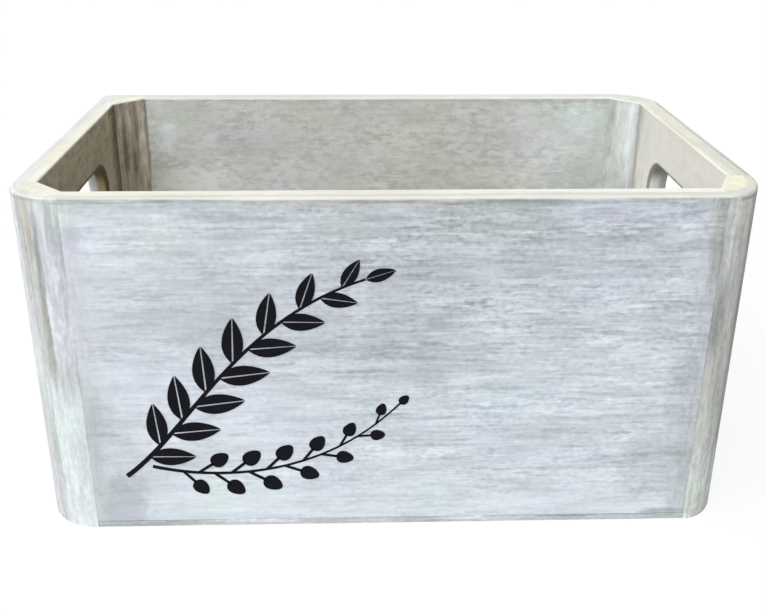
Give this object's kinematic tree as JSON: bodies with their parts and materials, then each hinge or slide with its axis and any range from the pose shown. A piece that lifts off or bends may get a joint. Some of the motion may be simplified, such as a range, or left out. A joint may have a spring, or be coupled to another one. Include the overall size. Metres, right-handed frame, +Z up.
{
  "type": "wooden box",
  "caption": "Open whitewashed wooden storage box: boards glued between quarter-round corner posts, a thin plywood base under the boards and a hand hole in each end.",
  "frame": {"origin": "on the surface the box stands on, under the middle of the box", "axes": "+X along the length, to the right seen from the front; +Y from front to back; +Z up"},
  "size_m": [0.32, 0.2, 0.16],
  "materials": {
    "whitewashed_board": "whitewashed, matte, grain along the board",
    "whitewashed_post": "whitewashed, matte, upright grain, worn on the round",
    "plywood": "thin matte whitewash over plywood",
    "raw_wood": "raw, sawn"
  },
  "bodies": {
    "root": {"front_panel": "whitewashed_board", "back_panel": "whitewashed_board", "left_end_panel": "whitewashed_board", "right_end_panel": "whitewashed_board", "front_left_post": "whitewashed_post", "front_right_post": "whitewashed_post", "back_left_post": "whitewashed_post", "back_right_post": "whitewashed_post", "base_panel": "plywood", "front_panel_left_spline": "raw_wood", "front_panel_right_spline": "raw_wood", "right_end_front_spline": "raw_wood", "right_end_back_spline": "raw_wood", "back_panel_right_spline": "raw_wood", "back_panel_left_spline": "raw_wood", "left_end_back_spline": "raw_wood", "left_end_front_spline": "raw_wood"}
  },
  "joints": []
}
